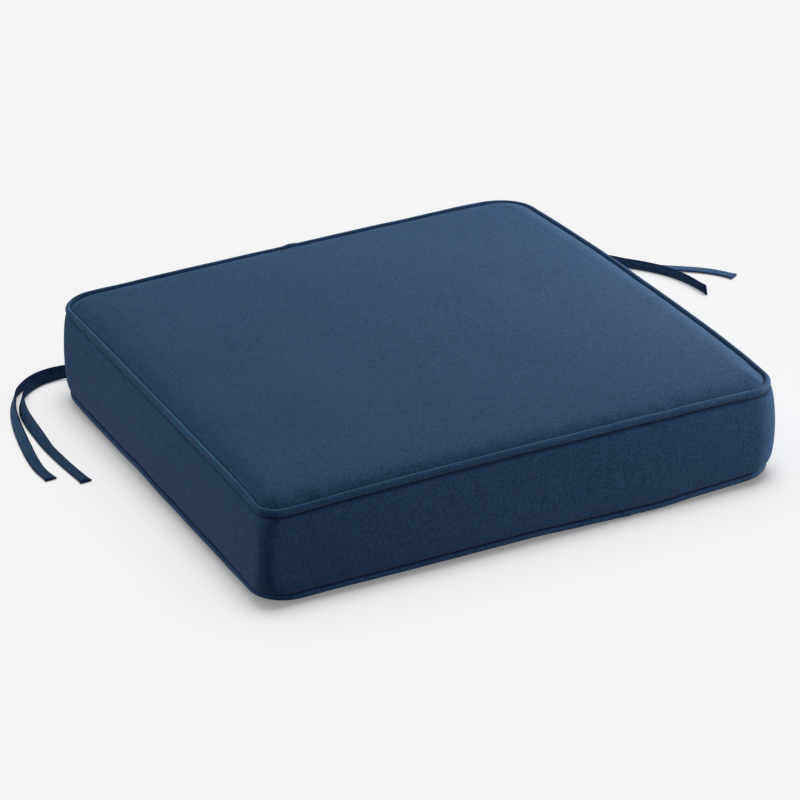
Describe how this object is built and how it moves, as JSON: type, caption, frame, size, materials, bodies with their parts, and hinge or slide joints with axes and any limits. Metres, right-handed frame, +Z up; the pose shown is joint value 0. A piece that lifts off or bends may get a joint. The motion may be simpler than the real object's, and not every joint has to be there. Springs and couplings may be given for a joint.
{
  "type": "chair cushion",
  "caption": "Boxed seat cushion with a crowned top, bulging boxing strip, covered piping on both seams and fabric ties at the back corners.",
  "frame": {"origin": "middle of the underside of the padded box, on the surface it rests on, without the ties", "axes": "+X to the right along the front edge, +Y from the front edge to the back edge with the ties, +Z up"},
  "size_m": [0.7613, 0.5118, 0.1113],
  "materials": {
    "panel_cloth": "matte woven navy canvas",
    "piping_cloth": "matte woven navy canvas cut on the bias over a cord",
    "tie_cloth": "matte folded and stitched navy canvas"
  },
  "bodies": {
    "root": {"cushion": "panel_cloth", "piping_top": "piping_cloth", "piping_bottom": "piping_cloth", "tie_left_long": "tie_cloth", "tie_left_short": "tie_cloth", "tie_right_long": "tie_cloth", "tie_right_short": "tie_cloth"}
  },
  "joints": []
}
